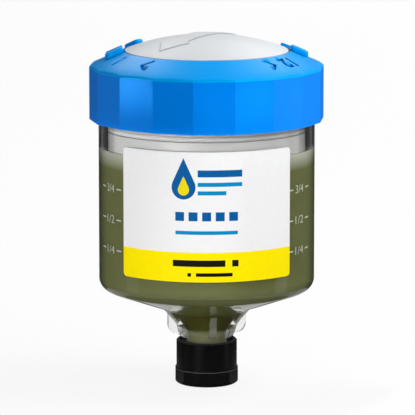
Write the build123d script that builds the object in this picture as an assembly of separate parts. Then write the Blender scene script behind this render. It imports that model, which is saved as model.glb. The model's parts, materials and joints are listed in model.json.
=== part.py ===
"""Single-point automatic lubricator: a clear grease reservoir under a faceted drive bonnet.

Frame: millimetres, +Z up along the axis of the reservoir, origin at the centre of the closure
cap's bottom face. The front, with the label, faces -Y. Angles round the axis are counted from
the front, positive towards +X.
"""
from build123d import *
import math
import os

# ---------------------------------------------------------------- clearances
SEAT_GAP = 0.3          # between a seated piece and its seat
RUN_GAP = 0.1           # radial clearance of seals and plugs in their bores
FILL_GAP = 0.05         # between the grease and the walls that hold it

# ---------------------------------------------------------------- closure cap
CAP_R = 7.62            # plain upper cylinder
CAP_H = 11.2
CAP_FLOOR = 1.5
COLLAR_R = 8.16         # across the corners of the grip collar
COLLAR_H = 3.9
COLLAR_SIDES = 12
COLLAR_ROUND = 1.3      # bottom edge
CAP_RIM_CHAMFER = 0.3
CAP_SEAL_T = 0.8

# ---------------------------------------------------------------- reservoir
THREAD_R = 6.58         # G1/4 major radius
STUB_CHAMFER = 0.8
BODY_R = 27.0
BODY_WALL = 2.3
FLOOR_SLOPE = 20.0      # degrees from level, down towards the neck
FLOOR_EDGE_Z = 25.1     # floor's underside at the outside radius, before the knuckle is rounded
KNUCKLE_R = 2.9
KNUCKLE_IN_R = 1.2
FLARE_R = 11.2          # where the floor turns down into the neck
FLARE_ROUND = 1.5
NECK_R = 6.7            # just above the closure cap
NECK_STEP_H = 0.6       # plain height above the cap, then a short bevel
NECK_BEVEL_H = 0.9
NECK_LOW_R = 7.2
NECK_TOP_R = 7.65
NECK_TOP_Z = 14.9
NECK_ROUND = 3.0
BORE_R = 3.5            # outlet
BORE_TOP_Z = 12.5       # above this height the outlet widens
THROAT_R = 5.0          # where the funnel enters the outlet
THROAT_ROUND = 1.2
BEAD_OUT = 0.5          # snap bead that holds the bonnet
BEAD_DROP = 3.0         # below the rim
BEAD_H = 1.2

# ---------------------------------------------------------------- neck fins
FIN_COUNT = 4
FIN_START = 10.0
FIN_R = 9.9
FIN_T = 1.6
FIN_STRAIGHT_Z = 15.6   # below this the outer edge turns in to the neck
FIN_BOTTOM_Z = 12.5
FIN_BULGE = (0.75, 0.3) # where the rounded corner passes, as shares of its width and height

# ---------------------------------------------------------------- grease and piston
EMPTY_Z = 28.8          # level of the last graduation
FILL_Z = 60.4           # level when delivered
PISTON_H = 6.6
PISTON_WEB = 1.8
PISTON_WALL = 1.3       # behind the groove
PISTON_EDGE = 0.3       # chamfer of the skirt's two ends
PISTON_SEAL_R = 0.7     # half the section of the ring
PISTON_SEAL_DROP = 1.4  # below the skirt's top
PISTON_ROOM = 0.6       # between the full piston and the drive housing

# ---------------------------------------------------------------- label
LABEL_HALF_ANGLE = 48.8
LABEL_Z0 = 30.75
LABEL_Z1 = 62.85
LABEL_T = 0.15
LABEL_CORNER = 1.0

# ---------------------------------------------------------------- drive housing
HOUSING_PLUG_H = 7.4    # depth of the plug in the reservoir's rim
HOUSING_FLOOR_T = 1.6
HOUSING_WALL = 2.4
FLANGE_INSET = 0.4      # from the reservoir's outside
FLANGE_T = 1.6
HOUSING_SEAL_R = 0.75
HOUSING_SEAL_DROP = 3.0 # below the rim
POCKET_WALL = 1.0
POCKET_H = 3.8
CELL_INSET = 9.0        # cell centres from the housing's inside wall
GAS_CELL_ANGLE = 180.0  # at the back
BATTERY_ANGLES = (-60.0, 60.0)
GAS_PORT_R = 1.0
CELL_SEAL_PITCH_R = 3.4
CELL_SEAL_R = 0.5
POST_R = 2.0
POST_INSET = 3.5        # post centres from the housing's inside wall
POST_ANGLES = (0.0, 120.0, 240.0)

# ---------------------------------------------------------------- cells, board, screws
CELL_R = 5.8            # button cell, 11.6 x 5.4
CELL_H = 5.4
CELL_CAN_STEP = 0.9     # the cap is narrower than the can
CELL_CAP_H = 1.2
CELL_EDGE_ROUND = 0.3
STRAP_T = 0.2
STRAP_W = 4.0
BOARD_EDGE_GAP = 0.7    # to the housing's inside wall
BOARD_T = 1.2
BOARD_GAP = 0.8         # from the cells' tops
CHIP_SIDE = 6.0
CHIP_T = 1.1
CHIP_INSET = 6.3        # from the board's edge
CHIP_ANGLE = -60.0
SCREW_R = 0.7
SCREW_L = 4.0           # below the board
SCREW_HEAD_R = 1.6
SCREW_HEAD_H = 0.9

# ---------------------------------------------------------------- bonnet
BONNET_SKIRT = 7.65     # how far it hangs below the reservoir's rim
BONNET_WALL = 2.0       # at the corners of the facets
FACETS = 18
FACET_CORNER_ANGLE = -6.4
FACET_EDGE_ROUND = 0.6
CONE_EDGE_RISE = 5.65   # cone's height over a facet corner, above the rim
CONE_EDGE_ROUND = 0.6
CONE_RUN = 8.55         # from the facets' corners in to the dial's recess
CONE_SLOPE = 23.9       # degrees from level
RECESS_DEPTH = 2.0      # seat of the dial below the cone's top edge
RECESS_FLOOR_T = 1.5
BONNET_CROWN_WALL = 3.4 # side wall above the flange
COLLAR_DROP = 1.1       # hub collar below the recess floor
COLLAR_WALL = 1.8
RIB_ANGLES = (-83.0, -127.0, 92.0)
RIB_SETBACK = 0.1       # from the dial's recess
RIB_L = 4.5
RIB_W = 3.0
RIB_H = 1.55
RIB_END_ROUND = 1.0
RIB_TOP_ROUND = 0.6

# ---------------------------------------------------------------- dial
DIAL_RISE = 3.75        # dome height over its edge
DIAL_PROUD = 0.05       # its edge above the cone's
DIAL_WALL = 1.8
DIAL_EDGE_ROUND = 0.3
HUB_R = 6.75
HUB_BORE_R = 4.0
DIAL_SEAL_R = 0.6
RETAINER_T = 0.5
RETAINER_OUT = 1.65     # beyond the hub
RETAINER_DEPTH = 0.8    # into the hub
RETAINER_GAP_ANGLE = 70.0
OFF_ANGLE = -42.0       # where the arrow points as delivered
DIAL_TRAVEL = 259.0     # from off to the last month
STOP_INSET = 4.45       # from the dial's edge
STOP_W = 2.0
STOP_H = 1.0
STOP_LUG_ANGLE = 12.0
ARROW_INSET = 3.35      # tip from the dial's edge
ARROW_H = 0.35
# corners of the arrow, as a share of its tip's radius and degrees from its tip
ARROW_HEAD = ((0.68, -27), (0.63, 18))
ARROW_NECK = ((0.52, -14), (0.56, 12))
ARROW_TAIL = ((0.82, 216), (0.82, 190))
ARROW_BEND_LEFT = ((0.32, -39), (0.32, -96))
ARROW_BEND_RIGHT = ((0.09, 152), (0.31, 16))

# ---------------------------------------------------------------- selector
WIPER_R = 9.5
WIPER_T = 0.8
WIPER_CLEAR = 0.85      # above the board
WIPER_PLUG_L = 2.2
CONTACT_T = 0.2
CONTACT_R0 = 3.0
CONTACT_R1 = 6.5
FINGER_W = 1.6
FINGER_INSET = 0.5      # tip from the carrier's edge
FINGER_LIFT = 0.15      # tip above the board's tracks

# ---------------------------------------------------------------- derived places
bore_in = BODY_R - BODY_WALL
cap_bore = THREAD_R + SEAT_GAP
seal_top = CAP_FLOOR + CAP_SEAL_T
stub_end = seal_top + SEAT_GAP
shoulder_z = CAP_H + SEAT_GAP
piston_top = FILL_Z + PISTON_H
housing_z = piston_top + PISTON_ROOM
body_top = housing_z + HOUSING_PLUG_H   # rim, hidden in the bonnet
bead_z = body_top - BEAD_DROP
housing_seal_z = body_top - HOUSING_SEAL_DROP
housing_r = bore_in - SEAT_GAP
housing_in = housing_r - HOUSING_WALL
flange_r = BODY_R - FLANGE_INSET
flange_top = body_top + FLANGE_T
floor_top = housing_z + HOUSING_FLOOR_T
cell_pitch_r = housing_in - CELL_INSET
post_pitch_r = housing_in - POST_INSET
cell_top = floor_top + CELL_H
board_z = cell_top + BOARD_GAP
board_top = board_z + BOARD_T
board_r = housing_in - BOARD_EDGE_GAP
bonnet_z = body_top - BONNET_SKIRT
bonnet_bore = BODY_R + SEAT_GAP
corner_r = bonnet_bore + BONNET_WALL
cone_edge_z = body_top + CONE_EDGE_RISE
cone_rise = math.tan(math.radians(CONE_SLOPE))
recess_r = corner_r - CONE_RUN
cone_top = cone_edge_z + CONE_RUN * cone_rise
recess_z = cone_top - RECESS_DEPTH
crown_under = recess_z - RECESS_FLOOR_T
dial_r = recess_r - SEAT_GAP
dial_z = recess_z + SEAT_GAP
dial_edge_z = cone_top + DIAL_PROUD
stop_r1 = dial_r - STOP_INSET
stop_r0 = stop_r1 - STOP_W
arrow_tip_r = dial_r - ARROW_INSET
hub_hole_r = HUB_R + RUN_GAP * 2
hub_end = board_top + WIPER_CLEAR + WIPER_T
collar_end = crown_under - COLLAR_DROP
seal_mid_z = (recess_z + collar_end) / 2
retainer_z = collar_end - SEAT_GAP - RETAINER_T
retainer_in = HUB_R - RETAINER_DEPTH


# ---------------------------------------------------------------- helpers
def at(radius, angle, z=0.0):
    """A point at a radius and an angle from the front."""
    turn = math.radians(angle)
    return Vector(radius * math.sin(turn), -radius * math.cos(turn), z)


def facing(angle):
    """Turns what is drawn along +X to an angle from the front."""
    return Rot(0, 0, angle - 90)


def disc(radius, z0, z1):
    return Pos(0, 0, z0) * Cylinder(radius, z1 - z0, align=(Align.CENTER, Align.CENTER, Align.MIN))


def tube(r_in, r_out, z0, z1):
    return disc(r_out, z0, z1) - disc(r_in, z0, z1)


def post(radius, pitch_r, angle, z0, z1):
    return Pos(*at(pitch_r, angle)) * disc(radius, z0, z1)


def ring_seal(pitch_r, section_r, z):
    return Pos(0, 0, z) * Torus(pitch_r, section_r)


def outline(*points, rounds=()):
    """A closed outline in radius and height, with some of its corners rounded."""
    face = make_face(Polyline(*points, close=True))
    for corner, radius in rounds:
        face = fillet(face.vertices().sort_by_distance(Vector(*corner))[0], radius)
    return face


def spun(face, angle=360.0):
    return revolve(Plane.XZ * face, Axis.Z, angle)


def sector(r_in, r_out, angle0, angle1, z0, z1):
    """Part of a tube between two angles from the front."""
    section = outline((r_in, z0), (r_out, z0), (r_out, z1), (r_in, z1))
    return facing(angle0) * spun(section, angle1 - angle0)


def save(name, shape):
    """Writes one sub-part."""
    shape.label = name
    export_step(shape, f"parts/{name}.step")


# ---------------------------------------------------------------- closure cap
def closure_cap():
    """Threaded cap: a plain sleeve over a low faceted grip collar."""
    sides = RegularPolygon(COLLAR_R, COLLAR_SIDES, rotation=180 / COLLAR_SIDES)
    collar = spun(outline(
        (0, 0), (COLLAR_R, 0), (COLLAR_R, COLLAR_H), (0, COLLAR_H),
        rounds=[((COLLAR_R, 0), COLLAR_ROUND)],
    )) & extrude(sides, COLLAR_H)
    sleeve = chamfer(disc(CAP_R, COLLAR_ROUND, CAP_H).edges().sort_by(Axis.Z)[-1], CAP_RIM_CHAMFER)
    return collar + sleeve - disc(cap_bore, CAP_FLOOR, CAP_H)


def closure_seal():
    """Flat disc that seals the outlet's end."""
    return disc(cap_bore - SEAT_GAP, CAP_FLOOR, seal_top)


# ---------------------------------------------------------------- reservoir
def floor_z(radius):
    """Underside of the conical floor, before its knuckle and flare."""
    return FLOOR_EDGE_Z - (BODY_R - radius) * math.tan(math.radians(FLOOR_SLOPE))


def grease_room(gap, top):
    """The room inside the reservoir up to a height, less a gap to its walls."""
    rise = BODY_WALL / math.cos(math.radians(FLOOR_SLOPE)) + gap
    wall = (bore_in - gap, floor_z(bore_in) + rise)
    throat = (THROAT_R - gap, floor_z(THROAT_R) + rise)
    bore = BORE_R - gap
    return spun(outline(
        (0, stub_end + gap), (bore, stub_end + gap), (bore, BORE_TOP_Z), throat, wall,
        (wall[0], top), (0, top),
        rounds=[(wall, KNUCKLE_IN_R), (throat, THROAT_ROUND)],
    ))


def neck_fin():
    """One rib between the neck and the floor, its outer corner rounded in to the neck."""
    root = THROAT_R + THROAT_ROUND
    top = floor_z(FIN_R) + BODY_WALL / 2
    outer = (FIN_R, FIN_STRAIGHT_Z)
    inner = (NECK_LOW_R, FIN_BOTTOM_Z)
    across, up = FIN_BULGE
    bulge_r = NECK_LOW_R + across * (FIN_R - NECK_LOW_R)
    bulge_z = FIN_BOTTOM_Z + up * (FIN_STRAIGHT_Z - FIN_BOTTOM_Z)
    sides = Polyline(inner, (root, FIN_BOTTOM_Z), (root, top), (FIN_R, top), outer)
    edges = [*sides.edges(), ThreePointArc(outer, (bulge_r, bulge_z), inner)]
    return extrude(Plane.XZ * make_face(Wire(edges)), FIN_T / 2, both=True)


def reservoir():
    """Clear moulding: wall, conical floor, flared neck with fins, outlet stub and snap bead."""
    bevel_z = shoulder_z + NECK_STEP_H
    knuckle = (BODY_R, FLOOR_EDGE_Z)
    flare = (FLARE_R, floor_z(FLARE_R))
    neck_top = (NECK_TOP_R, NECK_TOP_Z)
    stub = (THREAD_R, stub_end)
    outside = outline(
        (0, stub_end), stub, (THREAD_R, shoulder_z), (NECK_R, shoulder_z), (NECK_R, bevel_z),
        (NECK_LOW_R, bevel_z + NECK_BEVEL_H), neck_top, flare, knuckle,
        (BODY_R, body_top), (0, body_top),
        rounds=[(knuckle, KNUCKLE_R), (flare, FLARE_ROUND), (neck_top, NECK_ROUND)],
    )
    outside = chamfer(outside.vertices().sort_by_distance(Vector(*stub))[0], STUB_CHAMFER)
    bead_in = BODY_R - BODY_WALL / 2
    bead_low = bead_z - BEAD_H / 2
    bead_high = bead_z + BEAD_H / 2
    bead = spun(outline(
        (bead_in, bead_low - BEAD_OUT), (BODY_R, bead_low - BEAD_OUT), (BODY_R + BEAD_OUT, bead_low),
        (BODY_R + BEAD_OUT, bead_high), (BODY_R, bead_high + BEAD_OUT), (bead_in, bead_high + BEAD_OUT),
    ))
    body = spun(outside) + bead
    for number in range(FIN_COUNT):
        body += facing(FIN_START + number * 360 / FIN_COUNT) * neck_fin()
    return body - grease_room(0, body_top)


def label():
    """Thin wrap-round label with rounded corners."""
    wrap = sector(BODY_R, BODY_R + LABEL_T, -LABEL_HALF_ANGLE, LABEL_HALF_ANGLE, LABEL_Z0, LABEL_Z1)
    corners = wrap.edges().filter_by(lambda edge: abs(edge.length - LABEL_T) < 0.01)
    return fillet(corners, LABEL_CORNER)


# ---------------------------------------------------------------- grease
def grease_sump():
    """Grease in the funnel and the outlet, which stays when the rest is used."""
    return grease_room(FILL_GAP, EMPTY_Z)


def grease_charge():
    """Grease between the last graduation and the piston."""
    return disc(bore_in - FILL_GAP, EMPTY_Z, FILL_Z)


# ---------------------------------------------------------------- piston
def piston():
    """Cup-shaped follower: a smooth skirt, its seal ring in a groove close to the top."""
    skirt_r = bore_in - RUN_GAP
    seal_z = piston_top - PISTON_SEAL_DROP
    groove = PISTON_SEAL_R + FILL_GAP
    groove_r = skirt_r - 2 * groove
    inside = groove_r - PISTON_WALL
    return spun(outline(
        (0, FILL_Z), (skirt_r - PISTON_EDGE, FILL_Z), (skirt_r, FILL_Z + PISTON_EDGE),
        (skirt_r, seal_z - groove), (groove_r, seal_z - groove),
        (groove_r, seal_z + groove), (skirt_r, seal_z + groove),
        (skirt_r, piston_top - PISTON_EDGE), (skirt_r - PISTON_EDGE, piston_top), (inside, piston_top),
        (inside, FILL_Z + PISTON_WEB), (0, FILL_Z + PISTON_WEB),
    ))


def piston_seal():
    return ring_seal(bore_in - RUN_GAP - PISTON_SEAL_R, PISTON_SEAL_R, piston_top - PISTON_SEAL_DROP)


# ---------------------------------------------------------------- drive housing
def cell_place(angle, z=0.0):
    return Pos(*at(cell_pitch_r, angle, z))


def drive_housing():
    """Bulkhead plug on the reservoir's rim, with pockets for the cells and posts for the board."""
    groove = HOUSING_SEAL_R + FILL_GAP
    groove_r = housing_r - 2 * groove + RUN_GAP * 2
    body = spun(outline(
        (0, housing_z), (housing_r, housing_z),
        (housing_r, housing_seal_z - groove), (groove_r, housing_seal_z - groove),
        (groove_r, housing_seal_z + groove), (housing_r, housing_seal_z + groove),
        (housing_r, body_top), (flange_r, body_top), (flange_r, flange_top),
        (housing_in, flange_top), (housing_in, floor_top), (0, floor_top),
    ))
    pocket_in = CELL_R + SEAT_GAP / 2
    for angle in (GAS_CELL_ANGLE, *BATTERY_ANGLES):
        body += cell_place(angle) * tube(pocket_in, pocket_in + POCKET_WALL, floor_top, floor_top + POCKET_H)
    for angle in POST_ANGLES:
        body += post(POST_R, post_pitch_r, angle, floor_top, board_z)
        body -= post(SCREW_R + FILL_GAP, post_pitch_r, angle, board_z - SCREW_L - SEAT_GAP, board_z)
    seat_r0 = CELL_SEAL_PITCH_R - CELL_SEAL_R - FILL_GAP
    seat_r1 = CELL_SEAL_PITCH_R + CELL_SEAL_R + FILL_GAP
    body -= cell_place(GAS_CELL_ANGLE) * tube(seat_r0, seat_r1, floor_top - 2 * CELL_SEAL_R, floor_top)
    body -= cell_place(GAS_CELL_ANGLE) * disc(GAS_PORT_R, housing_z, floor_top)
    return body


def housing_seal():
    """Ring between the drive housing and the reservoir's bore."""
    return ring_seal(bore_in - FILL_GAP - HOUSING_SEAL_R, HOUSING_SEAL_R, housing_seal_z)


# ---------------------------------------------------------------- cells and electronics
def button_cell():
    """Button cell, can below and narrower cap above."""
    can = disc(CELL_R, floor_top, cell_top - CELL_CAP_H)
    can = fillet(can.edges().sort_by(Axis.Z)[-1], CELL_EDGE_ROUND)
    return can + disc(CELL_R - CELL_CAN_STEP, cell_top - CELL_CAP_H, cell_top)


def gas_cell():
    """Cell that gives off the driving gas through a port in its underside."""
    can = disc(CELL_R, floor_top, cell_top)
    return can - disc(GAS_PORT_R, floor_top, floor_top + CELL_CAP_H)


def gas_cell_seal():
    return ring_seal(CELL_SEAL_PITCH_R, CELL_SEAL_R, floor_top - CELL_SEAL_R)


def contact_strap():
    """Thin strip that joins the two batteries."""
    first, last = (at(cell_pitch_r, angle) for angle in BATTERY_ANGLES)
    pads = [Pos(*place) * disc(STRAP_W / 2, cell_top, cell_top + STRAP_T) for place in (first, last)]
    middle = (first + last) / 2
    strip = Pos(middle.X, middle.Y, cell_top) * Box(
        (last - first).length, STRAP_W, STRAP_T, align=(Align.CENTER, Align.CENTER, Align.MIN))
    return strip + pads


def circuit_board():
    board = disc(board_r, board_z, board_top)
    for angle in POST_ANGLES:
        board -= post(SCREW_R + SEAT_GAP, post_pitch_r, angle, board_z, board_top)
    return board


def control_chip():
    return Pos(*at(board_r - CHIP_INSET, CHIP_ANGLE, board_top)) * Box(
        CHIP_SIDE, CHIP_SIDE, CHIP_T, align=(Align.CENTER, Align.CENTER, Align.MIN))


def board_screws():
    """The screws that hold the board, as one group."""
    screws = []
    for angle in POST_ANGLES:
        shank = post(SCREW_R, post_pitch_r, angle, board_z - SCREW_L, board_top)
        head = post(SCREW_HEAD_R, post_pitch_r, angle, board_top, board_top + SCREW_HEAD_H)
        screws.append(shank + fillet(head.edges().sort_by(Axis.Z)[-1], SCREW_HEAD_H / 3))
    return Compound(children=screws)


# ---------------------------------------------------------------- bonnet
def cone_z(radius):
    """Height of the bonnet's conical top."""
    return cone_edge_z + (corner_r - radius) * cone_rise


def under_cone(lift, r_in, r_out):
    """What lies under the conical top, raised by a lift."""
    return spun(outline(
        (r_in, bonnet_z), (r_out, bonnet_z), (r_out, cone_z(r_out) + lift), (r_in, cone_z(r_in) + lift)))


def grip_rib():
    """Radial rib on the cone, with rounded ends and top edges."""
    rib_r = recess_r + RIB_SETBACK
    block = extrude(RectangleRounded(RIB_L, RIB_W, RIB_END_ROUND), cone_top)
    rib = Pos(rib_r + RIB_L / 2, 0, recess_z) * block & under_cone(RIB_H, rib_r, rib_r + RIB_L)
    return fillet(rib.faces().filter_by(GeomType.CONE)[0].edges(), RIB_TOP_ROUND)


def bonnet():
    """Faceted cover with a conical top, the dial's recess, grip ribs and the snap groove."""
    facets = RegularPolygon(corner_r, FACETS, rotation=FACET_CORNER_ANGLE - 90)
    prism = extrude(facets, cone_top - bonnet_z)
    prism = Pos(0, 0, bonnet_z) * fillet(prism.edges().filter_by(Axis.Z), FACET_EDGE_ROUND)
    shell = prism & under_cone(0, 0, corner_r)
    shell = fillet(shell.faces().filter_by(GeomType.CONE)[0].edges(), CONE_EDGE_ROUND)
    for angle in RIB_ANGLES:
        shell += facing(angle) * grip_rib()
    crown_in = bonnet_bore - BONNET_CROWN_WALL + SEAT_GAP
    ledge_z = flange_top + SEAT_GAP
    bead = BEAD_OUT + SEAT_GAP
    lower = bead_z - BEAD_H / 2 - SEAT_GAP
    upper = bead_z + BEAD_H / 2 + SEAT_GAP
    inside = spun(outline(
        (0, bonnet_z), (bonnet_bore, bonnet_z), (bonnet_bore, lower - BEAD_OUT), (BODY_R + bead, lower),
        (BODY_R + bead, upper), (bonnet_bore, upper + BEAD_OUT), (bonnet_bore, ledge_z), (crown_in, ledge_z),
        (crown_in, cone_z(crown_in) - BONNET_CROWN_WALL), (recess_r, crown_under), (0, crown_under),
    ))
    collar = disc(hub_hole_r + COLLAR_WALL, crown_under - COLLAR_DROP, crown_under + RECESS_FLOOR_T / 2)
    shell = shell - inside + collar
    shell -= disc(recess_r, recess_z, cone_top + RIB_H)
    shell -= disc(hub_hole_r, crown_under - COLLAR_DROP, recess_z)
    return shell + dial_stop()


def dial_stop():
    """Raised arc on the recess floor that ends the dial's travel both ways."""
    clear = math.degrees(SEAT_GAP / stop_r0)
    start = OFF_ANGLE + STOP_LUG_ANGLE / 2 + clear
    end = OFF_ANGLE + 360 - DIAL_TRAVEL - STOP_LUG_ANGLE / 2 - clear
    return sector(stop_r0, stop_r1, start, end, recess_z - RECESS_FLOOR_T / 2, recess_z + STOP_H)


# ---------------------------------------------------------------- dial
dome_radius = (dial_r ** 2 + DIAL_RISE ** 2) / (2 * DIAL_RISE)
dome_centre_z = dial_edge_z + DIAL_RISE - dome_radius


def ball(radius):
    return Pos(0, 0, dome_centre_z) * Sphere(radius)


def arrow():
    """Raised pointer: a broad head towards the rim and a curved, widening tail over the dome."""
    def corners(places):
        return [at(share * arrow_tip_r, OFF_ANGLE + turn) for share, turn in places]
    head_left, head_right = corners(ARROW_HEAD)
    neck_left, neck_right = corners(ARROW_NECK)
    tail_left, tail_right = corners(ARROW_TAIL)
    plan = Wire([
        *Polyline(neck_right, head_right, at(arrow_tip_r, OFF_ANGLE), head_left, neck_left).edges(),
        Spline(neck_left, *corners(ARROW_BEND_LEFT), tail_left),
        Line(tail_left, tail_right),
        Spline(tail_right, *corners(ARROW_BEND_RIGHT), neck_right),
    ])
    block = Pos(0, 0, dial_edge_z) * extrude(make_face(plan), DIAL_RISE * 2)
    return block & ball(dome_radius + ARROW_H) - ball(dome_radius - DIAL_WALL / 2)


def domed(r_out, radius, edge_round=0.0):
    """Half section of a dome of a given sphere radius over a straight rim."""
    def height(r):
        return dome_centre_z + math.sqrt(radius ** 2 - r ** 2)
    rim = (r_out, height(r_out))
    sides = Polyline((0, height(0)), (0, dial_z), (r_out, dial_z), rim)
    crown = ThreePointArc(rim, (r_out / 2, height(r_out / 2)), (0, height(0)))
    face = make_face(Wire([*sides.edges(), crown]))
    if edge_round:
        face = fillet(face.vertices().sort_by_distance(Vector(*rim))[0], edge_round)
    return face


def dial_dome():
    """Domed knob with its pointer, a hub through the bonnet and a stop lug."""
    cap = spun(domed(dial_r, dome_radius, DIAL_EDGE_ROUND))
    hollow = spun(domed(dial_r - DIAL_WALL, dome_radius - DIAL_WALL))
    groove = DIAL_SEAL_R + FILL_GAP
    hub = tube(HUB_BORE_R, HUB_R, hub_end, dial_edge_z + DIAL_RISE) & ball(dome_radius - DIAL_WALL / 2)
    hub -= tube(hub_hole_r - 2 * groove, HUB_R, seal_mid_z - groove, seal_mid_z + groove)
    hub -= tube(retainer_in - FILL_GAP, HUB_R, retainer_z - FILL_GAP, retainer_z + RETAINER_T + FILL_GAP)
    half = STOP_LUG_ANGLE / 2
    lug = sector(stop_r0, stop_r1, OFF_ANGLE - half, OFF_ANGLE + half, dial_z, dial_edge_z + DIAL_RISE)
    return (cap - hollow) + hub + (lug & ball(dome_radius - DIAL_WALL / 2)) + arrow()


def dial_seal():
    """Ring that keeps water out of the hub's bearing."""
    return ring_seal(hub_hole_r - FILL_GAP - DIAL_SEAL_R, DIAL_SEAL_R, seal_mid_z)


def dial_retainer():
    """Open snap ring that holds the hub under the bonnet."""
    half = RETAINER_GAP_ANGLE / 2
    return sector(retainer_in, HUB_R + RETAINER_OUT, half, 360 - half, retainer_z, retainer_z + RETAINER_T)


# ---------------------------------------------------------------- selector
def selector_wiper():
    """Carrier plugged into the hub, which turns the contact over the board's tracks."""
    plug = disc(HUB_BORE_R - FILL_GAP, hub_end, hub_end + WIPER_PLUG_L)
    return disc(WIPER_R, hub_end - WIPER_T, hub_end) + plug


def wiper_contact():
    """Sprung contact plate with two fingers bent down towards the board."""
    root = CONTACT_R0 + FINGER_W
    tip_r = WIPER_R - FINGER_INSET
    top = hub_end - WIPER_T
    under = top - CONTACT_T
    tip = board_top + FINGER_LIFT
    plate = tube(CONTACT_R0, CONTACT_R1, under, top)
    finger = extrude(Plane.XZ * outline(
        (root, top), (CONTACT_R1, top), (tip_r, tip + CONTACT_T), (tip_r, tip),
        (tip_r - FINGER_W / 2, tip), (CONTACT_R1, under), (root, under),
    ), FINGER_W / 2, both=True)
    return plate + [facing(OFF_ANGLE + side) * finger for side in (0, 180)]


# ---------------------------------------------------------------- write the parts
os.makedirs("parts", exist_ok=True)

save("closure_cap", closure_cap())
save("closure_seal", closure_seal())
save("reservoir", reservoir())
save("label", label())
save("grease_sump", grease_sump())
save("grease_charge", grease_charge())
save("piston", piston())
save("piston_seal", piston_seal())
save("drive_housing", drive_housing())
save("housing_seal", housing_seal())
save("gas_cell", cell_place(GAS_CELL_ANGLE) * gas_cell())
save("gas_cell_seal", cell_place(GAS_CELL_ANGLE) * gas_cell_seal())
for side, battery_angle in zip(("left", "right"), BATTERY_ANGLES):
    save(f"battery_{side}", cell_place(battery_angle) * button_cell())
save("contact_strap", contact_strap())
save("circuit_board", circuit_board())
save("control_chip", control_chip())
save("board_screws", board_screws())
save("bonnet", bonnet())
save("dial_dome", dial_dome())
save("dial_seal", dial_seal())
save("dial_retainer", dial_retainer())
save("selector_wiper", selector_wiper())
save("wiper_contact", wiper_contact())
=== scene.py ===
"""Looks of the automatic lubricator: finishes, engraving, scale marks, grease, light and camera."""

import functools
import json
import math

import bmesh
import bpy
from mathutils import Matrix, Vector


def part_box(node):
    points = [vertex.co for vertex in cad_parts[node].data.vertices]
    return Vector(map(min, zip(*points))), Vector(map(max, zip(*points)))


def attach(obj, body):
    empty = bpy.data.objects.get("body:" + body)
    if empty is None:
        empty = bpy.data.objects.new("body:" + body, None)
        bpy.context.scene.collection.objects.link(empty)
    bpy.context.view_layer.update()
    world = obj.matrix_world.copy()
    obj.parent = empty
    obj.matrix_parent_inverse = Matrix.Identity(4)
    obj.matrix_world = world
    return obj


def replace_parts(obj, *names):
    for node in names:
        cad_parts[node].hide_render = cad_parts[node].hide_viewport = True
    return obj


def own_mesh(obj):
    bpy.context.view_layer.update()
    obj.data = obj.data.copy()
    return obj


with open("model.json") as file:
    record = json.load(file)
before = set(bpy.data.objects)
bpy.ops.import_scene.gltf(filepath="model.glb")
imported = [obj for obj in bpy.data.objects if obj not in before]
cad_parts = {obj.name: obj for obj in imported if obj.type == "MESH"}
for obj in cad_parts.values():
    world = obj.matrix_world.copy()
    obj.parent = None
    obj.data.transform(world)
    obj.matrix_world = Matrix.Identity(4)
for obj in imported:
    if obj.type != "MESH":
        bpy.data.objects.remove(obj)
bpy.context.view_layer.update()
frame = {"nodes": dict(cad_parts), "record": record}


# ---------------------------------------------------------------- sizes, in metres
MM = 0.001

label_r = -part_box("label")[0][1]
empty_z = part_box("grease_charge")[0][2]
fill_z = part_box("grease_charge")[1][2]
charge_height = fill_z - empty_z

BODY_R = 27.0 * MM              # outside of the reservoir
BAND_Z = 38.1 * MM              # top of the label's yellow band
RIM_FROM_Z = 24.5 * MM          # the clear wall gets painted shade edge on above this height

# grease
WET = 0.2 * MM                  # how far it reaches into the wall it wets
FUNNEL_Z = 21.0 * MM            # where it funnels into the neck
NECK_SHADE_Z = 13.2 * MM         # painted shade darkens it from here up to the funnel
NECK_PALE_Z = 14.5 * MM         # painted light makes it paler below this height

# outlet's bore, which is drawn in between cap and floor
THROAT_R = 6.4 * MM             # the bore and its throat lie within this
DRAWN_FROM_Z = 9.0 * MM
DRAWN_FADE_IN = 3.0 * MM
DRAWN_FADE_OUT = 4.0 * MM       # ends at the funnel
DRAWN_SHARE = 0.2               # how much narrower it becomes

# neck's four fins
NECK_R = 7.3 * MM               # they stand out beyond this
FIN_TOP_Z = 18.5 * MM
FIN_SIDE = 0.85 * MM            # they lie within this of two crossed lines
FIN_START = 10                  # degrees from the front to the first of them

# closure
CAP_LEDGE_Z = 3.9 * MM          # top of its grip collar
CAP_TOP_Z = 11.2 * MM

# bonnet's cone, for what is engraved in it
CONE_EDGE_R = 29.3 * MM
CONE_EDGE_Z = 80.65 * MM
CONE_SLOPE = math.radians(23.9)
ENGRAVE_DEPTH = 0.6 * MM
CUTTER_CLEARANCE = 1 * MM       # how far the cutters stand out of the cone

WIDE_TURN = math.radians(20)    # wider facets than this are flat ones

WHITE = (1, 1, 1, 1)
BLACK = (0, 0, 0, 1)


# ---------------------------------------------------------------- geometry helpers
def radial(angle, radius, z=0.0):
    """A point at an angle from the front, positive towards +X."""
    turn = math.radians(angle)
    return Vector((radius * math.sin(turn), -radius * math.cos(turn), z))


def new_object(name, mesh, body):
    piece = bpy.data.objects.new(name, mesh)
    bpy.context.scene.collection.objects.link(piece)
    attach(piece, body)
    return piece


def mesh_from(bm, name, smooth=None):
    """A mesh of a bmesh, which is freed; smooth is the angle in degrees that stays a sharp edge."""
    mesh = bpy.data.meshes.new(name)
    bm.to_mesh(mesh)
    bm.free()
    if smooth is not None:
        mesh.shade_smooth()
        mesh.set_sharp_from_angle(angle=math.radians(smooth))
    return mesh


def welded(mesh, distance):
    """A bmesh of a mesh, with the points that lie this close merged."""
    bm = bmesh.new()
    bm.from_mesh(mesh)
    bmesh.ops.remove_doubles(bm, verts=bm.verts, dist=distance)
    return bm


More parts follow.
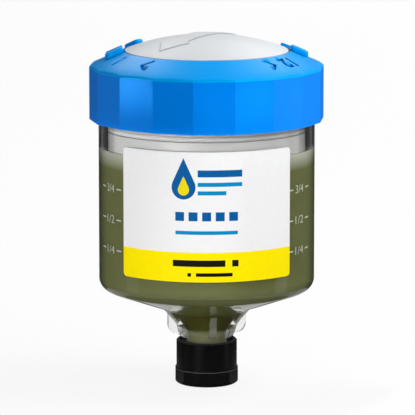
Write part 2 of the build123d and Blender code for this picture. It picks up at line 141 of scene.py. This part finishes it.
def collect(bm, collected):
    """Adds a bmesh to the collected one and frees it."""
    mesh = mesh_from(bm, "part")
    collected.from_mesh(mesh)
    bpy.data.meshes.remove(mesh)


def between(corners, radii, turns, start, weights):
    """A point of a triangle by its corners' weights, on a circle round the axis if it is narrow."""
    used = [k for k in range(3) if weights[k] > 0]
    spun = [k for k in used if radii[k] > 1e-6]
    if max(turns[k] for k in spun or used) - min(turns[k] for k in spun or used) > WIDE_TURN:
        return sum((corners[k] * weights[k] for k in used), Vector())
    share = sum(weights[k] for k in spun) or 1
    turn = start + sum(weights[k] * turns[k] for k in spun) / share
    radius = sum(weights[k] * radii[k] for k in used)
    z = sum(weights[k] * corners[k].z for k in used)
    return Vector((radius * math.cos(turn), radius * math.sin(turn), z))


def refined(node, cuts):
    """A finer copy of a turned CAD node, with each triangle cut up along circles round the axis."""
    mesh = frame["nodes"][node].data
    mesh.calc_loop_triangles()
    points, faces = [], []
    for triangle in mesh.loop_triangles:
        corners = [mesh.vertices[k].co for k in triangle.vertices]
        radii = [math.hypot(c.x, c.y) for c in corners]
        widest = corners[radii.index(max(radii))]
        start = math.atan2(widest.y, widest.x)
        turns = [math.remainder(math.atan2(c.y, c.x) - start, math.tau) for c in corners]
        index = {}
        for i in range(cuts + 1):
            for j in range(cuts + 1 - i):
                weights = (i / cuts, j / cuts, (cuts - i - j) / cuts)
                index[i, j] = len(points)
                points.append(between(corners, radii, turns, start, weights))
        for i in range(cuts):
            for j in range(cuts - i):
                faces.append((index[i, j], index[i + 1, j], index[i, j + 1]))
                if i + j < cuts - 1:
                    faces.append((index[i + 1, j], index[i + 1, j + 1], index[i, j + 1]))
    finer = bpy.data.meshes.new(node)
    finer.from_pydata(points, [], faces)
    bm = welded(finer, 2e-6)
    bpy.data.meshes.remove(finer)
    return bm


def flat_mesh(name, points, faces):
    mesh = bpy.data.meshes.new(name)
    mesh.from_pydata([(x, y, 0) for x, y in points], [], faces)
    return mesh


def bar_mesh(length, tall):
    """Flat mesh of a bar."""
    x, y = length / 2, tall / 2
    return flat_mesh("bar", [(-x, -y), (x, -y), (x, y), (-x, y)], [(0, 1, 2, 3)])


def chevron_mesh(wide, tall, stroke):
    """Flat mesh of a chevron that points along -X."""
    half = tall / 2
    slant = stroke * math.hypot(wide, half) / half
    centre = (wide + slant) / 2
    points = [
        (wide, half), (0, 0), (wide, -half),
        (wide + slant, -half), (slant, 0), (wide + slant, half),
    ]
    return flat_mesh("chevron", [(x - centre, y) for x, y in points], [(0, 1, 4, 5), (1, 2, 3, 4)])


def drop_mesh(radius):
    """Flat mesh of a falling drop: a round belly that runs up to a point."""
    peak = 2.4 * radius
    tangent = math.acos(radius / peak)
    steps = 20
    sweep = [
        math.pi / 2 + tangent + (math.tau - 2 * tangent) * k / steps for k in range(steps + 1)
    ]
    points = [(0, 0), (0, peak)] + [(radius * math.cos(a), radius * math.sin(a)) for a in sweep]
    ring = list(range(1, len(points))) + [1]
    return flat_mesh("drop", points, [(0, a, b) for a, b in zip(ring, ring[1:])])


def text_mesh(words, height, width=None, bold=0.0):
    """Flat mesh of some characters, centred, with their height along Y."""
    curve = bpy.data.curves.new("words", "FONT")
    curve.body = words
    curve.resolution_u = 6
    curve.offset = bold
    holder = bpy.data.objects.new("words", curve)
    bpy.context.scene.collection.objects.link(holder)
    depsgraph = bpy.context.evaluated_depsgraph_get()
    mesh = bpy.data.meshes.new_from_object(holder.evaluated_get(depsgraph))
    bpy.data.objects.remove(holder)
    low = [min(v.co[k] for v in mesh.vertices) for k in (0, 1)]
    high = [max(v.co[k] for v in mesh.vertices) for k in (0, 1)]
    scale_y = height / (high[1] - low[1])
    scale_x = width / (high[0] - low[0]) if width else scale_y
    for v in mesh.vertices:
        v.co.x = (v.co.x - (low[0] + high[0]) / 2) * scale_x
        v.co.y = (v.co.y - (low[1] + high[1]) / 2) * scale_y
    return mesh


def thicken(bm, depth):
    """Turns flat faces into a closed slab, downwards along Z."""
    result = bmesh.ops.extrude_face_region(bm, geom=bm.faces[:])
    moved = [g for g in result["geom"] if isinstance(g, bmesh.types.BMVert)]
    bmesh.ops.translate(bm, verts=moved, vec=(0, 0, -depth))
    bmesh.ops.recalc_face_normals(bm, faces=bm.faces)


# ---------------------------------------------------------------- nodes
def feed(tree, socket, source):
    """Links another node's output to a socket, or sets a plain value there."""
    if isinstance(source, bpy.types.NodeSocket):
        tree.links.new(source, socket)
    else:
        socket.default_value = source


def add_node(tree, kind, inputs=None, **settings):
    node = tree.nodes.new(kind)
    for key, value in settings.items():
        setattr(node, key, value)
    for socket, source in (inputs or {}).items():
        feed(tree, node.inputs[socket], source)
    return node


def grey(level):
    return (level, level, level)


class Shader:
    """A procedural material built round one Principled shader."""

    def __init__(self, name, **sockets):
        self.material = bpy.data.materials.new(name)
        self.material.use_nodes = True
        self.tree = self.material.node_tree
        self.principled = self.tree.nodes["Principled BSDF"]
        for socket, value in sockets.items():
            self.set(socket.replace("_", " "), value)

    @functools.cached_property
    def place(self):
        return self.add("ShaderNodeTexCoord").outputs["Object"]

    def add(self, kind, inputs=None, **settings):
        return add_node(self.tree, kind, inputs, **settings)

    def set(self, socket, source):
        feed(self.tree, self.principled.inputs[socket], source)

    def axes(self, vector):
        return self.add("ShaderNodeSeparateXYZ", {"Vector": vector}).outputs

    def height(self):
        return self.axes(self.place)["Z"]

    def maths(self, operation, first, second):
        node = self.add("ShaderNodeMath", {0: first, 1: second}, operation=operation)
        return node.outputs["Value"]

    def noise(self, scale, detail=3.0, stretch=(1, 1, 1)):
        mapping = self.add("ShaderNodeMapping", {"Vector": self.place, "Scale": stretch})
        inputs = {"Vector": mapping.outputs["Vector"], "Scale": scale, "Detail": detail}
        return self.add("ShaderNodeTexNoise", inputs).outputs["Fac"]

    def ramp(self, factor, *stops):
        """Colours at positions along a factor, blended in between."""
        node = self.add("ShaderNodeValToRGB", {"Fac": factor})
        elements = node.color_ramp.elements
        while len(elements) < len(stops):
            elements.new(0.5)
        for element, (position, colour) in zip(elements, stops):
            element.position = position
            element.color = (*colour, 1)
        return node.outputs["Color"]

    def spread(self, factor, low, high, start=0.0, end=1.0):
        """Low where the factor is at its start, high at its end."""
        inputs = {
            "Value": factor, "From Min": start, "From Max": end, "To Min": low, "To Max": high,
        }
        return self.add("ShaderNodeMapRange", inputs).outputs["Result"]

    def mixed(self, factor, colour, other, **settings):
        """Mixes a factor's share of another colour into a colour."""
        inputs = {"Factor": factor, 6: colour, 7: other}
        return self.add("ShaderNodeMix", inputs, data_type="RGBA", **settings).outputs[2]

    def creased(self, colour, share, reach):
        """Paints shade into a colour in creases, where little light reaches."""
        open_sky = self.add("ShaderNodeAmbientOcclusion", {"Distance": reach}, samples=12)
        shut = self.spread(open_sky.outputs["AO"], share, 0, 0.45, 0.95)
        return self.mixed(shut, colour, BLACK)

    def banded(self, colour, other, low, high, soft):
        """Mixes another colour in between two heights."""
        height = self.height()
        rise = self.spread(height, 0, 1, low, low + soft)
        fall = self.spread(height, 0, 1, high, high - soft)
        return self.mixed(self.maths("MULTIPLY", rise, fall), colour, (*other, 1))

    def bump(self, factor, distance):
        node = self.add("ShaderNodeBump", {"Height": factor, "Distance": distance})
        self.set("Normal", node.outputs["Normal"])


# ---------------------------------------------------------------- finishes
def moulded(name, colour, shade, roughness, specular=0.5, tint=(1, 1, 1), crease_shade=None, painted_light_bands=()):
    """Injection-moulded plastic: faint flow shading, uneven gloss and a fine spark-eroded grain.

    The painted shade in creases is a share and a reach; each band of painted light is a colour, two
    heights and a soft edge's width.
    """
    shader = Shader(name, Specular_IOR_Level=specular, Specular_Tint=(*tint, 1))
    body = shader.ramp(shader.noise(60, 2), (0.3, [c * shade for c in colour]), (0.7, colour))
    # painted light: lighter bands between two heights
    for band in painted_light_bands:
        body = shader.banded(body, *band)
    # painted shade: darker in creases and recesses
    if crease_shade:
        body = shader.creased(body, *crease_shade)
    shader.set("Base Color", body)
    shader.set("Roughness", shader.spread(shader.noise(400), roughness - 0.05, roughness + 0.05))
    shader.bump(shader.noise(2500, 2), 0.01 * MM)
    return shader.material


def blue_plastic():
    """The bonnet, with a painted highlight along the rounded edge between facets and cone, and
    painted light that makes the cone a lighter blue than the facets.
    """
    past_top = 100 * MM
    # painted light: the cone, which faces up, is painted a lighter blue than the facets
    cone = ((0.0004, 0.38, 1.0), CONE_EDGE_Z - 0.3 * MM, past_top, 0.3 * MM)
    # painted highlight: a lighter strip along the rounded edge between facets and cone
    corner_highlight = ((0.0004, 0.44, 1.0), CONE_EDGE_Z - 0.55 * MM, CONE_EDGE_Z - 0.05 * MM, 0.15 * MM)
    # painted shade darkens its engraving, its ribs and the gap round the dial
    return moulded(
        "blue_plastic", (0.0004, 0.245, 0.98), 0.97, 0.34, specular=0.25, tint=(0.0, 0.65, 1.0),
        crease_shade=(0.55, 0.7 * MM), painted_light_bands=(cone, corner_highlight),
    )


def dial_plastic():
    colour = (0.76, 0.79, 0.82)
    # painted shade darkens the arrow's edges and the gap round the dial
    return moulded("dial_plastic", colour, 0.985, 0.42, specular=0.08, crease_shade=(0.6, 0.7 * MM))


def cap_plastic():
    """Black closure, with painted highlights on the upper edge of its grip collar and on the edge
    round its top.
    """
    # painted highlights: lighter bands on the upper edge of the grip collar and on the edge round
    # the top
    ledge_highlight = (grey(0.09), CAP_LEDGE_Z - 0.2 * MM, CAP_LEDGE_Z + 0.08 * MM, 0.1 * MM)
    painted_rim = (grey(0.03), CAP_TOP_Z - 0.35 * MM, CAP_TOP_Z + 0.2 * MM, 0.1 * MM)
    colour = (0.003, 0.003, 0.0035)
    return moulded("cap_plastic", colour, 0.8, 0.26, specular=0.13, painted_light_bands=(ledge_highlight, painted_rim))


def fin_mask(shader):
    """1 in the neck's four fins, otherwise 0."""
    turned = shader.add(
        "ShaderNodeVectorRotate", {"Vector": shader.place, "Angle": math.radians(-FIN_START)},
        rotation_type="Z_AXIS",
    )
    size = shader.add("ShaderNodeVectorMath", {0: turned.outputs["Vector"]}, operation="ABSOLUTE")
    x, y, z = shader.axes(size.outputs["Vector"])
    in_line = shader.maths("LESS_THAN", shader.maths("MINIMUM", x, y), FIN_SIDE)
    outside = shader.maths("GREATER_THAN", shader.maths("MAXIMUM", x, y), NECK_R)
    low = shader.maths("LESS_THAN", z, FIN_TOP_Z)
    return shader.maths("MULTIPLY", shader.maths("MULTIPLY", in_line, outside), low)


def clear_plastic():
    """Polished clear moulding, with painted shade where it is seen edge on, and hazy fins."""
    shader = Shader("clear_plastic", IOR=1.5, Roughness=0.0)
    body = shader.ramp(shader.noise(40, 1), (0.3, (0.90, 0.905, 0.90)), (0.7, (0.92, 0.925, 0.92)))
    facing = shader.add("ShaderNodeLayerWeight", {"Blend": 0.5}).outputs["Facing"]
    # painted shade: the colour darkens where the wall is seen edge on
    painted_rim = shader.ramp(facing, (0.62, grey(1)), (0.78, grey(0.45)), (0.9, grey(0.12)))
    tone = shader.mixed(1.0, body, painted_rim, blend_type="MULTIPLY")
    below = -1 * MM
    floor = (0.91, 0.915, 0.91)
    shader.set("Base Color", shader.banded(tone, floor, below, RIM_FROM_Z, 1.5 * MM))
    shader.set("Transmission Weight", shader.spread(fin_mask(shader), 1.0, 0.88))
    return shader.material


def grease():
    """Olive grease: pale where it thins out under the piston, with painted shade high in the neck
    and painted light low in it.
    """
    shader = Shader("grease", Specular_IOR_Level=0.08, Roughness=0.5)
    streaks = shader.noise(70, 4, (1, 1, 0.7))
    olive = shader.ramp(streaks, (0.3, (0.127, 0.138, 0.050)), (0.7, (0.151, 0.162, 0.062)))
    depth = shader.axes(shader.add("ShaderNodeUVMap", uv_map="depth").outputs["UV"])["Y"]
    thin = shader.ramp(depth, (0.0, grey(1)), (0.03, grey(0.8)), (0.13, grey(0)))
    charge_colour = shader.mixed(thin, olive, (0.50, 0.51, 0.43, 1))
    # painted shade: darker in the upper neck, up to the funnel
    deep = shader.banded(
        charge_colour, (0.045, 0.044, 0.003), NECK_SHADE_Z, FUNNEL_Z, 1.8 * MM,
    )
    # painted light: paler in the lower neck
    shader.set("Base Color", shader.banded(deep, (0.20, 0.21, 0.11), 0, NECK_PALE_Z, 2.2 * MM))
    shader.bump(shader.noise(500, 4), 0.05 * MM)
    return shader.material


def label_film():
    """Satin printed film: white, with a yellow band along the bottom, and a faint painted glow of
    its own colour.
    """
    # painted light: the film glows faintly in its own colour, though it is no lamp
    shader = Shader("label_film", Specular_IOR_Level=0.03, Emission_Strength=0.14)
    fibre = shader.noise(900, 3)
    white = shader.ramp(fibre, (0.3, grey(0.775)), (0.7, grey(0.795)))
    yellow = shader.ramp(fibre, (0.3, (0.90, 0.72, 0.0)), (0.7, (0.93, 0.76, 0.0)))
    colour = shader.mixed(shader.maths("LESS_THAN", shader.height(), BAND_Z), white, yellow)
    shader.set("Base Color", colour)
    shader.set("Emission Color", colour)
    shader.set("Roughness", shader.spread(shader.noise(300), 0.38, 0.46))
    shader.bump(fibre, 0.004 * MM)
    return shader.material


def metal(name, colour, roughness):
    shader = Shader(name, Metallic=1.0)
    tarnish = shader.noise(200)
    shader.set("Base Color", shader.ramp(tarnish, (0.3, [c * 0.9 for c in colour]), (0.7, colour)))
    shader.set("Roughness", shader.spread(shader.noise(800), roughness - 0.06, roughness + 0.06))
    return shader.material


def ink(name, dark, light):
    """Printing ink, slightly uneven."""
    shader = Shader(name, Specular_IOR_Level=0.05, Roughness=0.5)
    shader.set("Base Color", shader.ramp(shader.noise(3000), (0.3, dark), (0.7, light)))
    return shader.material


finishes = {
    "clear_plastic": clear_plastic(),
    "grease": grease(),
    "label_film": label_film(),
    "blue_plastic": blue_plastic(),
    "cap_plastic": cap_plastic(),
    "dial_plastic": dial_plastic(),
    "piston_plastic": moulded("piston_plastic", (0.44, 0.44, 0.43), 0.96, 0.42),
    "housing_plastic": moulded("housing_plastic", (0.16, 0.17, 0.18), 0.9, 0.5),
    "black_rubber": moulded("black_rubber", (0.03, 0.03, 0.03), 0.85, 0.7),
    "white_rubber": moulded("white_rubber", (0.52, 0.52, 0.51), 0.95, 0.6, specular=0.2),
    "cell_steel": metal("cell_steel", (0.72, 0.72, 0.71), 0.3),
    "spring_brass": metal("spring_brass", (0.83, 0.66, 0.33), 0.3),
    "board_laminate": moulded("board_laminate", (0.03, 0.26, 0.12), 0.85, 0.35),
}


def finish(piece, slot):
    piece.data.materials.clear()
    piece.data.materials.append(finishes[slot])


for part in frame["record"]["subparts"]:
    finish(frame["nodes"][part["node"]], part["material_slot"])


# ---------------------------------------------------------------- grease and clear reservoir
def narrowed(bm):
    """Draws the outlet's bore in between cap and floor, so that the neck shows more clear wall."""
    for v in bm.verts:
        if math.hypot(v.co.x, v.co.y) < THROAT_R:
            rise = min(max((v.co.z - DRAWN_FROM_Z) / DRAWN_FADE_IN, 0), 1)
            fall = min(max((FUNNEL_Z - v.co.z) / DRAWN_FADE_OUT, 0), 1)
            share = 1 - DRAWN_SHARE * min(rise, fall)
            v.co.x *= share
            v.co.y *= share


def wet_grease(node, z_low, z_high):
    """Grease that wets the wall round it, with its depth under the piston kept as a UV."""
    bm = refined(node, 3)
    narrowed(bm)
    bm.normal_update()
    shifts = {}
    for v in bm.verts:
        sides = [face.normal for face in v.link_faces if abs(face.normal.z) < 0.97]
        if sides:
            shifts[v] = sum(sides, Vector()).normalized() * WET
    for v, shift in shifts.items():
        place = v.co + shift
        place.z = min(max(place.z, z_low), z_high)
        v.co = place
    layer = bm.loops.layers.uv.new("depth")
    for face in bm.faces:
        for loop in face.loops:
            loop[layer].uv = (0, (fill_z - loop.vert.co.z) / charge_height)
    piece = new_object(node + "_wet", mesh_from(bm, node + "_wet", smooth=30), "casing")
    finish(piece, "grease")
    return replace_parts(piece, node)


def smooth_reservoir():
    """The clear moulding on a finer mesh, so that what shows through it bends evenly."""
    bm = refined("reservoir", 3)
    narrowed(bm)
    mesh = mesh_from(bm, "reservoir_clear", smooth=25)
    piece = new_object("reservoir_clear", mesh, "casing")
    finish(piece, "clear_plastic")
    piece.visible_shadow = False        # lamps reach the grease behind it
    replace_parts(piece, "reservoir")


wet_grease("grease_sump", 0.0, empty_z)
charge = wet_grease("grease_charge", empty_z, fill_z)
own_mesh(charge)
smooth_reservoir()


# ---------------------------------------------------------------- engraved bonnet
def on_cone(angle, radius):
    """Place on the bonnet's cone: X along the level line, Y outwards down it, Z out of it."""
    turn = math.radians(angle)
    outward = Vector((math.sin(turn), -math.cos(turn), 0)) * math.cos(CONE_SLOPE)
    outward.z = -math.sin(CONE_SLOPE)
    level = Vector((-math.cos(turn), -math.sin(turn), 0))
    normal = level.cross(outward)
    place = Matrix((level, outward, normal)).transposed().to_4x4()
    z = CONE_EDGE_Z + (CONE_EDGE_R - radius) * math.tan(CONE_SLOPE)
    place.translation = radial(angle, radius, z)
    return place


def add_cutter(mesh, place, cutters):
    """Adds a slab of the mesh's outline, sunk into the cone at a place."""
    bm = welded(mesh, 1e-7)
    thicken(bm, ENGRAVE_DEPTH + CUTTER_CLEARANCE)
    bmesh.ops.translate(bm, verts=bm.verts, vec=(0, 0, CUTTER_CLEARANCE))
    bm.transform(place)
    collect(bm, cutters)


def engrave(piece, cutters):
    """Cuts the cutters out of a piece's mesh."""
    tool = bpy.data.objects.new("cutters", mesh_from(cutters, "cutters"))
    bpy.context.scene.collection.objects.link(tool)
    cut = piece.modifiers.new("engraving", "BOOLEAN")
    cut.operation = "DIFFERENCE"
    cut.solver = "EXACT"
    cut.object = tool
    depsgraph = bpy.context.evaluated_depsgraph_get()
    mesh = bpy.data.meshes.new_from_object(piece.evaluated_get(depsgraph))
    piece.modifiers.clear()
    piece.data = mesh
    bpy.data.objects.remove(tool)


def engraved_bonnet():
    """The bonnet with the months' numbers and a chevron on each side of the front."""
    cutters = bmesh.new()
    for month in (1, 3, 6, 9, 12):
        angle = -64 - 21.8 * (month - 1)
        add_cutter(text_mesh(str(month), 4.4 * MM, bold=0.03), on_cone(angle, 23.95 * MM), cutters)
    for angle, flip in ((-38.6, -1), (41.4, 1)):
        place = on_cone(angle, 24.0 * MM) @ Matrix.Diagonal((flip, 1, 1, 1))
        add_cutter(chevron_mesh(2.1 * MM, 4.6 * MM, 0.85 * MM), place, cutters)
    bmesh.ops.recalc_face_normals(cutters, faces=cutters.faces)
    mesh = mesh_from(welded(frame["nodes"]["bonnet"].data, 1e-6), "bonnet_engraved")
    piece = new_object("bonnet_engraved", mesh, "casing")
    engrave(piece, cutters)
    piece.data.shade_smooth()
    piece.data.set_sharp_from_angle(angle=math.radians(18))
    finish(piece, "blue_plastic")
    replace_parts(piece, "bonnet")


engraved_bonnet()


# ---------------------------------------------------------------- scale and label print
def add_print(mesh, angle, z, layer, radius=BODY_R, proud=0.02 * MM):
    """Lays a flat mesh on a round wall as a thin printed layer, sunk as deep as it stands proud."""
    bm = welded(mesh, 1e-7)
    reach = math.floor(max(abs(v.co.x) for v in bm.verts) / MM)
    for k in range(-reach, reach + 1):          # a cut at each millimetre lets it bend
        everything = bm.verts[:] + bm.edges[:] + bm.faces[:]
        bmesh.ops.bisect_plane(
            bm, geom=everything, dist=1e-8, plane_co=(k * MM, 0, 0), plane_no=(1, 0, 0),
        )
    bmesh.ops.translate(bm, verts=bm.verts, vec=(0, 0, proud))
    thicken(bm, 2 * proud)
    for v in bm.verts:
        turn = angle + math.degrees(v.co.x / radius)
        v.co = radial(turn, radius + v.co.z, z + v.co.y)
    collect(bm, layer)


def printed(name, layer, material):
    """A printed layer in its own ink."""
    piece = new_object(name, mesh_from(layer, name), "casing")
    piece.data.materials.append(material)


def scale_marks():
    """Quarter marks on both sides, each a fraction between two dashes."""
    layer = bmesh.new()
    for words, z in (("1/4", 36.5 * MM), ("1/2", 44.15 * MM), ("3/4", 51.85 * MM)):
        for text_angle, dash_angles in ((-61.4, (-69.5, -53.3)), (58.1, (50.0, 66.4))):
            add_print(text_mesh(words, 2.0 * MM, 3.6 * MM, bold=-0.008), text_angle, z, layer)
            for angle in dash_angles:
                add_print(bar_mesh(1.9 * MM, 0.34 * MM), angle, z, layer)
    printed("scale_marks", layer, ink("scale_ink", (0.50, 0.52, 0.43), (0.60, 0.62, 0.52)))


def bar(length, tall, angle, z):
    return bar_mesh(length * MM, tall * MM), angle, z


def label_print():
    """A plain design: a drop beside three bars, a row of squares, and bars on the yellow band."""
    squares = [bar(2.2, 2.2, angle, 47.0) for angle in (-14.0, -7.0, 0.0, 7.0, 14.0)]
    blue = [(drop_mesh(3.0 * MM), -12.0, 54.2), bar(11, 1.7, 7.0, 57.6), *squares]
    light = [bar(11, 1.0, 7.0, 54.9), bar(7, 1.0, 2.8, 52.8), bar(15.4, 0.9, 0.0, 43.0)]
    yellow = [(drop_mesh(1.4 * MM), -12.0, 53.6)]
    black = [
        bar(13, 1.6, -4.0, 35.4), bar(1.6, 1.6, 15.0, 35.4),
        bar(9, 0.9, 4.0, 32.6), bar(0.9, 0.9, -9.0, 32.6),
    ]
    under, over = 0.012 * MM, 0.025 * MM        # the small yellow drop lies over the blue one
    for name, colour, shapes, proud in (
        ("label_print_blue", (0.0, 0.11, 0.36), blue, under),
        ("label_print_light", (0.0, 0.27, 0.58), light, under),
        ("label_print_yellow", (0.90, 0.76, 0.003), yellow, over),
        ("label_print_black", (0.008, 0.008, 0.008), black, under),
    ):
        layer = bmesh.new()
        for mesh, angle, z in shapes:
            add_print(mesh, angle, z * MM, layer, label_r, proud)
        printed(name, layer, ink(name, [c * 0.9 for c in colour], colour))


scale_marks()
label_print()


# ---------------------------------------------------------------- stage
SHOWN = ("Is Camera Ray", "Is Glossy Ray", "Is Transmission Ray")
FLOOR_SEEN = 0.12               # share of the floor's own shading that shows on the white
SCREEN_R = 150 * MM             # sphere round the object that the large cards lie on
MIDDLE_Z = 45 * MM


def stage_object(name, mesh, shader, seen_by=None):
    """A piece of the studio. With seen_by, only those rays meet it."""
    mesh.materials.append(shader.material)
    thing = bpy.data.objects.new(name, mesh)
    bpy.context.scene.collection.objects.link(thing)
    if seen_by:
        for ray in ("camera", "diffuse", "glossy", "transmission", "shadow"):
            setattr(thing, "visible_" + ray, ray == seen_by)
    return thing


def shown_rays(tree):
    """1 for the rays that show the background, otherwise 0."""
    path = add_node(tree, "ShaderNodeLightPath").outputs
    total = path[SHOWN[0]]
    for kind in SHOWN[1:]:
        most = add_node(tree, "ShaderNodeMath", {0: total, 1: path[kind]}, operation="MAXIMUM")
        total = most.outputs["Value"]
    return total


def white_floor():
    """Pale floor that melts into the white background but keeps the object's shadow."""
    shader = Shader(
        "floor_white", Base_Color=(0.95, 0.95, 0.95, 1), Roughness=0.9, Specular_IOR_Level=0,
    )
    share = shader.maths("MULTIPLY", shown_rays(shader.tree), 1 - FLOOR_SEEN)
    see_through = shader.add("ShaderNodeBsdfTransparent").outputs["BSDF"]
    inputs = {"Fac": share, 1: shader.principled.outputs["BSDF"], 2: see_through}
    surface = shader.add("ShaderNodeMixShader", inputs).outputs["Shader"]
    feed(shader.tree, shader.tree.nodes["Material Output"].inputs["Surface"], surface)
    bm = bmesh.new()
    bmesh.ops.create_circle(bm, cap_ends=True, radius=4, segments=64)
    floor = stage_object("floor", mesh_from(bm, "floor"), shader)
    floor.location.z = -0.05 * MM
    floor.visible_glossy = False


def soft_world(ambient):
    """White for what shows the background, and a dimmer even light on the object."""
    world = bpy.data.worlds.new("studio")
    world.use_nodes = True
    tree = world.node_tree
    inputs = {"Value": shown_rays(tree), "To Min": ambient, "To Max": 1.0}
    level = add_node(tree, "ShaderNodeMapRange", inputs).outputs["Result"]
    background = tree.nodes["Background"]
    feed(tree, background.inputs["Color"], WHITE)
    feed(tree, background.inputs["Strength"], level)
    bpy.context.scene.world = world


# ---------------------------------------------------------------- cards
def glow(name, power):
    """An even white light that reflects nothing."""
    return Shader(
        name, Base_Color=BLACK, Specular_IOR_Level=0, Emission_Color=WHITE, Emission_Strength=power,
    )


def gridded(name, power):
    """A soft box behind a grid: it shines straight ahead and nearly nothing to the side."""
    shader = glow(name, power)
    aside = shader.add("ShaderNodeLayerWeight", {"Blend": 0.5}).outputs["Facing"]
    shader.set("Emission Strength", shader.spread(aside, power, 0, 0.075, 0.105))
    return shader


def scrim(share):
    """A net that stops a share of the light that falls on it."""
    return Shader("scrim", Base_Color=BLACK, Specular_IOR_Level=0, Alpha=share)


def screen_card(name, angles, heights, shader, seen_by="glossy", nearer=0):
    """Part of a sphere round the object: degrees from the front, degrees above level.

    A card that lies nearer, in millimetres, hides what is behind it.
    """
    bm = bmesh.new()
    radius = SCREEN_R - nearer * MM
    steps = 24
    rows = []
    for row in range(steps + 1):
        lift = math.radians(heights[0] + (heights[1] - heights[0]) * row / steps)
        reach, z = radius * math.cos(lift), MIDDLE_Z + radius * math.sin(lift)
        turns = [angles[0] + (angles[1] - angles[0]) * k / steps for k in range(steps + 1)]
        rows.append([bm.verts.new(radial(turn, reach, z)) for turn in turns])
    for lower, upper in zip(rows, rows[1:]):
        for k in range(steps):
            bm.faces.new((lower[k], lower[k + 1], upper[k + 1], upper[k]))
    stage_object(name, mesh_from(bm, name), shader, seen_by)


def upright_card(name, angles, heights, radius, shader, seen_by):
    """A card bent round the object's axis."""
    bm = bmesh.new()
    columns = []
    for angle in range(angles[0], angles[1] + 1, 4):
        columns.append([bm.verts.new(radial(angle, radius, z)) for z in heights])
    for (a, b), (c, d) in zip(columns, columns[1:]):
        bm.faces.new((a, c, d, b))
    stage_object(name, mesh_from(bm, name), shader, seen_by)


def screen_cards():
    """Dark flags that keep the white studio out of the gloss, and soft boxes that show in it."""
    dark = glow("flag_dark", 0.03)
    dim = glow("flag_grey", 0.2)
    all_round = (0, 360)
    screen_card("flag_tent", all_round, (-28, 90), dark)
    screen_card("card_under", all_round, (-45, -28), glow("card_under", 0.6))
    screen_card("flag_tent_low", all_round, (-90, -45), dark)
    screen_card("flag_back", (165, 195), (0, 14), dim, nearer=2)
    for side, back_power, side_power in ((-1, 3.5, 0.3), (1, 6, 0.6)):
        behind = (180 + side * 12, 180 + side * 30)
        beside = (side * 72, side * 88)
        screen_card(f"strip_back_{side}", behind, (40, 58), glow("strip", back_power), nearer=3)
        screen_card(f"strip_side_{side}", beside, (-30, 12), glow("strip", side_power), nearer=3)
        # what the clear wall shows of the studio through its edges
        for part, (near, far, shader) in enumerate(((11, 27, dark), (27, 36, dim), (36, 66, dark))):
            angles = (180 + side * near, 180 + side * far)
            screen_card(f"flag_edge_{side}_{part}", angles, (-20, 30), shader, "transmission")
    # draws thin lights along the closure's rounded edges
    screen_card("card_front", (-30, 36), (16, 40), glow("card_front", 3), nearer=4)


def bonnet_cards():
    """Small soft cards close to the bonnet, each of which shows in the gloss of one facet."""
    half_width = 12
    whole, upper = (64 * MM, 77 * MM), (70 * MM, 78 * MM)
    behind, before = 60 * MM, 59 * MM
    for name, angle, heights, radius, power in (
        ("left", -56, whole, behind, 4),
        ("gleam", -56, upper, before, 34),
        ("front", 8, whole, behind, 6),
        ("right", 36, whole, behind, 11),
        ("far", 67, whole, behind, 2.5),
    ):
        name = "bonnet_card_" + name
        angles = (angle - half_width, angle + half_width)
        upright_card(name, angles, heights, radius, gridded(name, power), "glossy")


def lamp_cards():
    """A flag that keeps the low fill off the bonnet, and a net before the label's right side."""
    flag = glow("flag_black", 0)
    upright_card("flag_card", (-140, 20), (68.2 * MM, 92 * MM), 52 * MM, flag, "shadow")
    upright_card("net_card", (30, 86), (8 * MM, 74 * MM), 52 * MM, scrim(0.65), "shadow")


# ---------------------------------------------------------------- lamps and camera
def soft_box(name, place, size, power):
    """A lamp that faces the object's middle."""
    light = bpy.data.lights.new(name, "AREA")
    light.shape = "RECTANGLE"
    light.size, light.size_y = size
    light.energy = power
    lamp = bpy.data.objects.new(name, light)
    lamp.location = place
    aim = Vector((0, 0, 50 * MM)) - Vector(place)
    lamp.rotation_euler = aim.to_track_quat("-Z", "Y").to_euler()
    lamp.visible_camera = False
    bpy.context.scene.collection.objects.link(lamp)


def camera():
    """A long lens, nearly ten degrees above the object's middle."""
    distance = 0.9
    tilt = math.radians(9.8)
    target = Vector((0.213 * MM, 0, 44.65 * MM))
    data = bpy.data.cameras.new("camera")
    data.sensor_width = 36
    data.lens = 311.3
    data.clip_start = 0.05
    holder = bpy.data.objects.new("camera", data)
    holder.location = target + distance * Vector((0, -math.cos(tilt), math.sin(tilt)))
    holder.rotation_euler = (math.radians(90) - tilt, 0, 0)
    bpy.context.scene.collection.objects.link(holder)
    bpy.context.scene.camera = holder


white_floor()
soft_world(0.27)
screen_cards()
bonnet_cards()
lamp_cards()
soft_box("key", (0.86, -0.69, 0.55), (0.5, 0.5), 5.0)
soft_box("fill_low", (-0.58, -0.99, 0.10), (0.3, 0.15), 4.5)
soft_box("back", (0.3, 1.15, 0.45), (0.6, 0.6), 3)
soft_box("top", (0.6, 0.05, 1.0), (0.6, 0.6), 7.8)
camera()
bpy.context.scene.view_settings.view_transform = "Standard"
